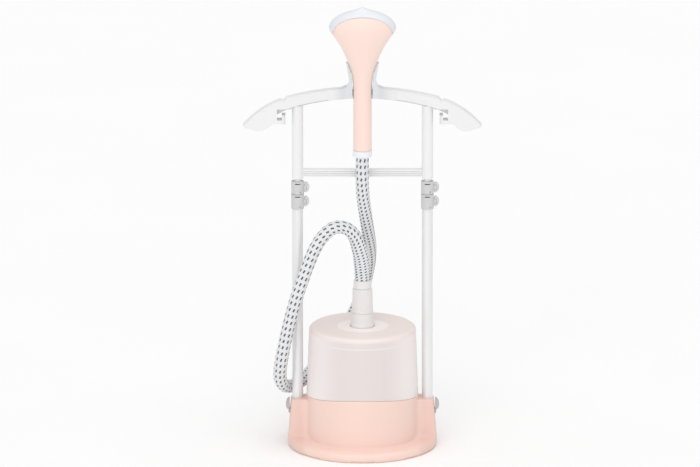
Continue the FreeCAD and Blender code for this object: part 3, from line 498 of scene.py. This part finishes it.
def base_profile(angle):
    """(radius, height) of the base's skin in one direction, from its rim up to the hole in the deck."""
    share = smooth_track(EAR_SHAPE, off_side(angle))[0]

    def wall(z):
        ear = RIM_RADIUS - 0.0001 - 0.072 * (z - 0.012)
        return TRUNK_RADIUS + (ear - TRUNK_RADIUS) * share

    lip = RIM_RADIUS - 0.0018
    points = [(lip, 0.0008), (lip, FOOT_TOP - 0.0003), (RIM_RADIUS - 0.0015, FOOT_TOP),
              (RIM_RADIUS - 0.0003, FOOT_TOP + 0.0012), (RIM_RADIUS, FOOT_TOP + 0.003)]
    low, reach = FOOT_TOP + 0.003, RIM_RADIUS - wall(SKIRT_TOP)
    fillet = min(0.0022 + 0.011 * math.exp(-((off_side(angle) - 12) / 8) ** 2), 0.5 * reach)
    for step in range(1, 11):
        turn = math.pi / 2 * step / 10
        points.append((wall(SKIRT_TOP) + fillet + (reach - fillet) * max(math.cos(turn), 0) ** 0.62,
                       low + (SKIRT_TOP - low) * math.sin(turn) ** 0.62))
    for step in range(1, 7):
        turn = math.pi / 2 * step / 6
        height = SKIRT_TOP + fillet * (1 - math.cos(turn))
        points.append((wall(height) + fillet * (1 - math.sin(turn)), height))
    corner, foot = 0.0025, SKIRT_TOP + fillet
    for step in range(1, 15):
        height = foot + (EAR_TOP - corner - foot) * step / 14
        points.append((wall(height), height))
    for turn in (math.pi / 6, math.pi / 3, math.pi / 2):
        points.append((wall(EAR_TOP) - corner * share * (1 - math.cos(turn)),
                       EAR_TOP - corner * (1 - math.sin(turn))))
    outer, inner = wall(EAR_TOP) - corner * share, TRUNK_RADIUS + 0.0012 * share
    for step in range(1, 6):
        points.append((outer + (inner - outer) * step / 5, EAR_TOP + 0.0008 * step / 5))
    seam = SEAM_CROWN - SEAM_RADIUS + math.sqrt(SEAM_RADIUS ** 2 - (TRUNK_RADIUS * math.cos(angle)) ** 2)
    foot = EAR_TOP + 0.0026
    for step in range(5):
        points.append((TRUNK_RADIUS, foot + (seam - 0.0009 - foot) * step / 4))
    points += [(TRUNK_RADIUS - 0.0003, seam - 0.0003), (TRUNK_RADIUS - 0.0009, seam),
               (PLATEAU_RADIUS, seam), (PLATEAU_RADIUS, DECK_LEVEL - 0.0006),
               (PLATEAU_RADIUS - 0.0006, DECK_LEVEL), (DECK_HOLE_RADIUS + 0.0005, DECK_LEVEL),
               (DECK_HOLE_RADIUS, DECK_LEVEL - 0.0005)]
    return points


def make_base(materials):
    """The outer skin of skirt and upper housing, with soft valleys where the shoulders meet the trunk."""
    near_ear = [i * 0.5 for i in range(-36, 37)]
    degrees = near_ear + [18 + 2 * i for i in range(1, 72)] + [180 + a for a in near_ear]
    degrees += [198 + 2 * i for i in range(1, 72)]
    rings = zip(*[[(r * math.cos(math.radians(a)), r * math.sin(math.radians(a)), z)
                   for r, z in base_profile(math.radians(a))] for a in degrees])
    base = new_piece("base_skin", grid_mesh("base_skin", [[Vector(p) for p in ring] for ring in rings]),
                     "peach_plastic", "root", materials["peach_plastic"])
    solid = base.modifiers.new("wall", "SOLIDIFY")
    solid.thickness = 0.0026
    solid.offset = -1
    cutters = bmesh.new()
    for side in (-1, 1):
        bore = (side * POLE_REACH, 0)
        add_round(cutters, POLE_RADIUS + 0.00015, (*bore, 0.07), (*bore, 0.1))
        near, far = sorted(side * reach for reach in LOCK_SLOT_REACH)
        add_block(cutters, (near, -LOCK_SLOT_HALF_WIDTH, LOCK_SLOT_LEVELS[0]),
                  (far, LOCK_SLOT_HALF_WIDTH, LOCK_SLOT_LEVELS[1]))
    add_round(cutters, VALVE_SEAT_RADIUS, (0, VALVE_Y, 0.1), (0, VALVE_Y, 0.12))
    add_round(cutters, GLAND_RADIUS, (0, REAR_CUT[0], GLAND_LEVEL), (0, REAR_CUT[1], GLAND_LEVEL))
    add_block(cutters, (-SWITCH_HALF_WIDTH, REAR_CUT[0], SWITCH_LEVELS[0]),
              (SWITCH_HALF_WIDTH, REAR_CUT[1], SWITCH_LEVELS[1]))
    carved(base, cutters)
    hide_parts("base_shell", "base_skirt")


# ---------------------------------------------------------------- hose
# The route of the hose, the same points as the CAD tube's.
HOSE_ROUTE = [
    (0, 0, 0.314), (0, 0, 0.345), (-0.006, -0.002, 0.376), (-0.015, -0.004, 0.403), (-0.030, -0.008, 0.417),
    (-0.048, -0.012, 0.420), (-0.066, -0.016, 0.412), (-0.087, -0.024, 0.385), (-0.104, -0.031, 0.343),
    (-0.119, -0.034, 0.300), (-0.131, -0.034, 0.258), (-0.142, -0.032, 0.212), (-0.150, -0.028, 0.168),
    (-0.154, -0.016, 0.135), (-0.149, 0.005, 0.111), (-0.135, 0.029, 0.100), (-0.118, 0.052, 0.101),
    (-0.101, 0.073, 0.111), (-0.079, 0.095, 0.132), (-0.052, 0.114, 0.163), (-0.0255, 0.124, 0.198),
    (-0.007, 0.127, 0.232), (0.0025, 0.124, 0.265), (0.009, 0.115, 0.297), (0.014, 0.099, 0.328),
    (0.014, 0.076, 0.358), (0.011, 0.051, 0.390), (0.007, 0.027, 0.423), (0.003, 0.004, 0.456),
    (0, -0.016, 0.489), (-0.0007, -0.0276, 0.522), (-0.0002, -0.0302, 0.552), (0.0002, -0.030, 0.582),
    (0, -0.0301, 0.610),
]


def spline_points():
    """Points along the smooth spline that has the route's points as its control points."""
    curve = bpy.data.curves.new("hose_route", "CURVE")
    curve.dimensions = "3D"
    curve.resolution_u = 24
    spline = curve.splines.new("NURBS")
    spline.points.add(len(HOSE_ROUTE) - 1)
    for point, place in zip(spline.points, HOSE_ROUTE):
        point.co = (*place, 1)
    spline.order_u = 3
    spline.use_endpoint_u = True
    holder = bpy.data.objects.new("hose_route", curve)
    bpy.context.scene.collection.objects.link(holder)
    bpy.context.view_layer.update()
    line = bpy.data.meshes.new_from_object(holder.evaluated_get(bpy.context.evaluated_depsgraph_get()))
    points = [v.co.copy() for v in line.vertices]
    bpy.data.objects.remove(holder)
    bpy.data.meshes.remove(line)
    return points


# Pitch of the dashes along the hose: bunched at the connector, stretched where it hangs, slack between.
DASH_PITCHES = [(0, 0.0052), (0.055, 0.0058), (0.11, 0.0095), (0.2, 0.0122), (0.42, 0.0118), (0.56, 0.0085),
                (0.68, 0.0078), (0.9, 0.0082), (1.0, 0.0100), (1.08, 0.0118), (2, 0.0118)]
ROWS_PER_DASH, DASH_COLUMNS, STEPS_PER_COLUMN = 8, 9, 8
STEPS_AROUND = DASH_COLUMNS * STEPS_PER_COLUMN
JACKET_RADIUS, TWIST_PER_METRE, FOLD_PITCH = 0.0118, -5.2, 0.0056


def is_dash(row, k):
    """Whether the weave cell belongs to a float of the dark yarn; each float leans a little."""
    across = (k - (row % ROWS_PER_DASH) // 2) % STEPS_PER_COLUMN
    return 2 <= row % ROWS_PER_DASH <= 5 and 2 <= across <= 4


def weave_stations(total):
    """Distances along the hose of the rows of the weave."""
    stations = [0.0]
    while stations[-1] < total:
        stations.append(stations[-1] + smooth_track(DASH_PITCHES, stations[-1])[0] / ROWS_PER_DASH)
    stations[-1] = total
    return stations


def place_along(points, lengths, index, s):
    """The centre and the direction of the hose at distance s, which lies after the point at index."""
    a, b = points[index], points[index + 1]
    t = min((s - lengths[index]) / max(lengths[index + 1] - lengths[index], 1e-9), 1)
    before = (points[index] - points[max(index - 1, 0)]) if index else b - a
    after = points[min(index + 2, len(points) - 1)] - b
    if after.length < 1e-9:
        after = b - a
    if before.length < 1e-9:
        before = b - a
    here = (b - a).normalized()
    return a.lerp(b, t), (before.normalized() + here).lerp(here + after.normalized(), t).normalized()


def jacket_radius(row, k, s, angle):
    """The jacket's radius with its weave, its dashes and the folds that bunch it at the connector."""
    weft = math.cos(math.pi * row)
    warp = 1 if (k // 2 + row // 2) % 2 else -1
    fold = math.sin(2 * math.pi * (s / FOLD_PITCH) + 1.1 * math.sin(angle) + 0.7 * math.sin(2 * angle))
    bunch = max(0.0, 1 - abs(s - 0.03) / 0.085)
    bunch = bunch * bunch * (3 - 2 * bunch)
    radius = JACKET_RADIUS + 0.00012 * weft + 0.00014 * warp
    radius += bunch * (0.0021 + 0.0006 * fold + 0.0006 * math.sin(angle * 2 + 30 * s))
    if is_dash(row, k):
        radius += 0.00022
    return radius


def jacket_rings(points):
    """One ring of the jacket for each row of the weave."""
    lengths = [0.0]
    for a, b in zip(points, points[1:]):
        lengths.append(lengths[-1] + (b - a).length)
    rings, tangent_before, side = [], None, Vector((1, 0, 0))
    index = 0
    for row, s in enumerate(weave_stations(lengths[-1])):
        while index < len(points) - 2 and lengths[index + 1] < s:
            index += 1
        centre, tangent = place_along(points, lengths, index, s)
        if tangent_before is not None:
            side = tangent_before.rotation_difference(tangent) @ side
        side = (side - tangent * side.dot(tangent)).normalized()
        tangent_before = tangent
        other = tangent.cross(side)
        ring = []
        for k in range(STEPS_AROUND):
            angle = 2 * math.pi * k / STEPS_AROUND + TWIST_PER_METRE * s
            ring.append(centre + jacket_radius(row, k, s, angle)
                        * (math.cos(angle) * side + math.sin(angle) * other))
        rings.append(ring)
    return rings


def lay_weave(data, row_count):
    """Gives the dashes their dark yarn and lays the weave coordinates along and around the hose."""
    weave = data.uv_layers.new(name="weave")
    for face in data.polygons:
        row, k = divmod(face.index, STEPS_AROUND)
        if row < row_count - 1:
            if is_dash(row, k):
                face.material_index = 1
            corners = ((k, row), (k + 1, row), (k + 1, row + 1), (k, row + 1))
            for loop, (u, v) in zip(face.loop_indices, corners):
                weave.data[loop].uv = (u / STEPS_AROUND, v / STEPS_AROUND)


def make_hose(materials):
    """The woven jacket: relief of warp and weft in the mesh, with the dark yarn's floats in columns."""
    points = spline_points()
    rings = jacket_rings(points)
    data = grid_mesh("hose_jacket", rings, ("first", "last"))
    data.materials.append(materials["hose_jacket"])
    data.materials.append(materials["hose_dash"])
    lay_weave(data, len(rings))
    hose = bpy.data.objects.new("hose_jacket", data)
    bpy.context.scene.collection.objects.link(hose)
    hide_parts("hose")
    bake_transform(hose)


# ---------------------------------------------------------------- hand unit
# Sections of the hand unit: height, half width, half depth.
HEAD_SECTIONS = [
    (0.5726, 0.0171, 0.0171), (0.640, 0.0171, 0.0171), (0.690, 0.0171, 0.0171), (0.702, 0.0179, 0.0175),
    (0.718, 0.0200, 0.0184), (0.732, 0.0243, 0.0198), (0.746, 0.0295, 0.0216), (0.760, 0.0356, 0.0238),
    (0.774, 0.0430, 0.0262), (0.787, 0.0516, 0.0284), (0.798, 0.0590, 0.0296), (0.807, 0.0620, 0.0294),
    (0.816, 0.0584, 0.0272), (0.8225, 0.0528, 0.0242), (0.8285, 0.0450, 0.0200), (0.833, 0.0360, 0.0156),
    (0.8363, 0.0264, 0.0114), (0.8393, 0.0158, 0.0074), (0.8423, 0.0066, 0.0040), (0.8444, 0.0022, 0.0020),
]
# The two planes of the edge between handle and steam plate: tilt in degrees, y from the axis, height.
SPLIT_PLANES = ((82.5, -0.016, 0.806), (34, -0.015, 0.801))
SPLIT_BLEND = 0.006
BARREL_RADIUS = 0.0171
HOLE_TILT = math.radians(50)
HOLE_RADIUS, HOLE_SPACING = 0.0015, 0.012
# The rows of steam holes: place along the plate's slope, number of holes.
HOLE_ROWS = ((-0.018, 5), (-0.006, 7), (0.006, 7), (0.018, 5))


def head_point(angle, z):
    wide, deep = smooth_track(HEAD_SECTIONS, z)
    return Vector((wide * math.cos(angle), HAND_Y + deep * math.sin(angle), z))


def beyond_split(point):
    """Above zero on the steam plate, below zero on the handle: a steep front edge, a flat rear one."""
    sides = []
    for tilt, y, z in SPLIT_PLANES:
        tilt = math.radians(tilt)
        sides.append((point.y - HAND_Y - y) * math.sin(tilt) + (point.z - z) * math.cos(tilt))
    near = abs(sides[0] - sides[1])
    return min(sides) - max(SPLIT_BLEND - near, 0) ** 2 / (4 * SPLIT_BLEND)


def split_level(angle):
    """The height at which the edge between handle and steam plate crosses this side of the head."""
    low, high = 0.72, 0.8435
    for _ in range(40):
        middle = (low + high) / 2
        if beyond_split(head_point(angle, middle)) > 0:
            high = middle
        else:
            low = middle
    return low


def thicken(piece, thickness, rim):
    solid = piece.modifiers.new("wall", "SOLIDIFY")
    solid.thickness = thickness
    solid.offset = -1
    bevel = piece.modifiers.new("rim", "BEVEL")
    bevel.width = rim
    bevel.segments = 3
    bevel.limit_method = "ANGLE"
    bevel.angle_limit = math.radians(50)


def make_hand_unit(materials):
    seam, rim_gap, rows, columns = 0.00022, 0.0003, 110, 64
    for name, first in (("handle_front_shell", math.pi), ("handle_rear_shell", 0.0)):
        turn = seam / BARREL_RADIUS
        angles = [first + turn + (math.pi - 2 * turn) * k / columns for k in range(columns + 1)]
        tops = [split_level(a) - rim_gap for a in angles]
        rings = [[head_point(a, BARREL_FOOT + (top - BARREL_FOOT) * row / rows)
                  for a, top in zip(angles, tops)] for row in range(rows + 1)]
        shell = new_piece(name + "_skin", grid_mesh(name, rings, wrap=False), "peach_plastic",
                          "hand_unit", materials["handle_peach"])
        thicken(shell, 0.0024, 0.0005)
        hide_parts(name)
    columns, rows = 144, 44
    angles = [2 * math.pi * k / columns for k in range(columns)]
    feet = [split_level(a) + rim_gap for a in angles]
    rings = [[head_point(a, foot + (HEAD_TOP - foot) * math.sin(math.pi / 2 * row / rows))
              for a, foot in zip(angles, feet)] for row in range(rows)]
    plate = new_piece("steam_plate_skin", grid_mesh("steam_plate", rings, ("last",)), "white_plastic",
                      "hand_unit", materials["cradle_plastic"])
    thicken(plate, 0.0024, 0.0007)
    drill_steam_holes(plate)
    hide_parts("steam_plate")


def drill_steam_holes(plate):
    centre = Vector((0, HAND_Y, 0.791))
    along = Vector((0, -math.cos(HOLE_TILT), math.sin(HOLE_TILT)))
    outward = Vector((0, math.sin(HOLE_TILT), math.cos(HOLE_TILT)))
    drills = bmesh.new()
    for row, count in HOLE_ROWS:
        for i in range(count):
            place = centre + Vector(((i - (count - 1) / 2) * HOLE_SPACING, 0, 0)) + along * row
            add_round(drills, HOLE_RADIUS, place + outward * 0.005, place + outward * 0.065)
    carved(plate, drills)


# ---------------------------------------------------------------- painted shade: dark inserts in the clamps' slits
SLIT_SHADE_DEPTH = 0.0039
# Section of an insert: distance from the pole's axis, height.
SLIT_SHADE_SECTION = ((0.0094, -0.0006), (0.0108, -0.0006), (0.0108, 0.0006), (0.0094, 0.0006))


def make_slit_shade_inserts(materials):
    """A curved dark insert in the slit of each clamp: painted shade standing in for the shadow in the slit.
    """
    for level, body in (("lower", "root"), ("upper", "mid_poles")):
        for side, sign in (("left", -1), ("right", 1)):
            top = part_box("%s_clamp_%s" % (level, side))[1].z
            middle = Vector((sign * POLE_REACH, 0, top - SLIT_SHADE_DEPTH))
            rings = []
            for step in range(17):
                angle = math.radians(242 + 60 * step / 16)
                direction = Vector((math.cos(angle), math.sin(angle), 0))
                rings.append([middle + direction * r + Vector((0, 0, z)) for r, z in SLIT_SHADE_SECTION])
            # Painted shade: each insert is a dark sheet where the slit is only in shadow.
            name = "%s_clamp_shoe_%s" % (level, side)
            new_piece(name, grid_mesh(name, rings, ("first", "last")), "dark_plastic", body,
                      materials["dark_plastic"])


# ---------------------------------------------------------------- valve spring
def make_valve_spring(materials):
    """The coil under the valve cap."""
    low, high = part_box("valve_spring")
    wire, turns, steps, sides = 0.00045, 3, 24, 10
    middle = (low + high) / 2
    radius, rise = (high.x - low.x) / 2 - wire, high.z - low.z - 2 * wire
    upwards = Vector((0, 0, 1))
    rings = []
    for step in range(turns * steps + 1):
        turn = 2 * math.pi * step / steps
        outward = Vector((math.cos(turn), math.sin(turn), 0))
        level = low.z + wire + rise * step / (turns * steps)
        centre = Vector((middle.x, middle.y, level)) + radius * outward
        rings.append([centre + wire * (math.cos(a) * outward + math.sin(a) * upwards)
                      for a in (2 * math.pi * k / sides for k in range(sides))])
    coil = new_piece("valve_coil", grid_mesh("valve_coil", rings, ("first", "last")), "steel", "tank",
                     materials["steel"])
    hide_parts("valve_spring")
    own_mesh(coil)


# ---------------------------------------------------------------- stage
def make_stage():
    data = bpy.data.meshes.new("floor")
    size = 14
    corners = [(-size, -size, 0), (size, -size, 0), (size, size, 0), (-size, size, 0)]
    data.from_pydata(corners, [], [(0, 1, 2, 3)])
    floor = bpy.data.objects.new("floor", data)
    bpy.context.scene.collection.objects.link(floor)
    finish = Finish("floor", colour(255, 255, 255), 0.6)
    finish.tint(finish.noise(3, 3), colour(252, 252, 252))
    finish.bump(finish.noise(300, 3), 0.05)
    data.materials.append(finish.material)


def sun(name, source, strength, softness):
    light = bpy.data.lights.new(name, "SUN")
    light.energy = strength
    light.angle = math.radians(softness)
    lamp = bpy.data.objects.new(name, light)
    lamp.rotation_euler = Vector(source).to_track_quat("Z", "Y").to_euler()
    bpy.context.scene.collection.objects.link(lamp)


def make_lights():
    """An even white room, a broad soft light from the front and one from above."""
    world = bpy.data.worlds.new("studio")
    world.use_nodes = True
    world.node_tree.nodes["Background"].inputs["Color"].default_value = (1, 1, 1, 1)
    world.node_tree.nodes["Background"].inputs["Strength"].default_value = 0.59
    bpy.context.scene.world = world
    sun("front", (-0.12, -1, 0.42), 0.68, 50)
    sun("above", (0.03, -0.12, 1), 1.12, 60)
    bpy.context.scene.view_settings.view_transform = "Standard"


make_camera()
materials = make_materials()
dress_nodes(materials)
make_base(materials)
make_hose(materials)
make_slit_shade_inserts(materials)
make_hand_unit(materials)
make_valve_spring(materials)
make_stage()
make_lights()
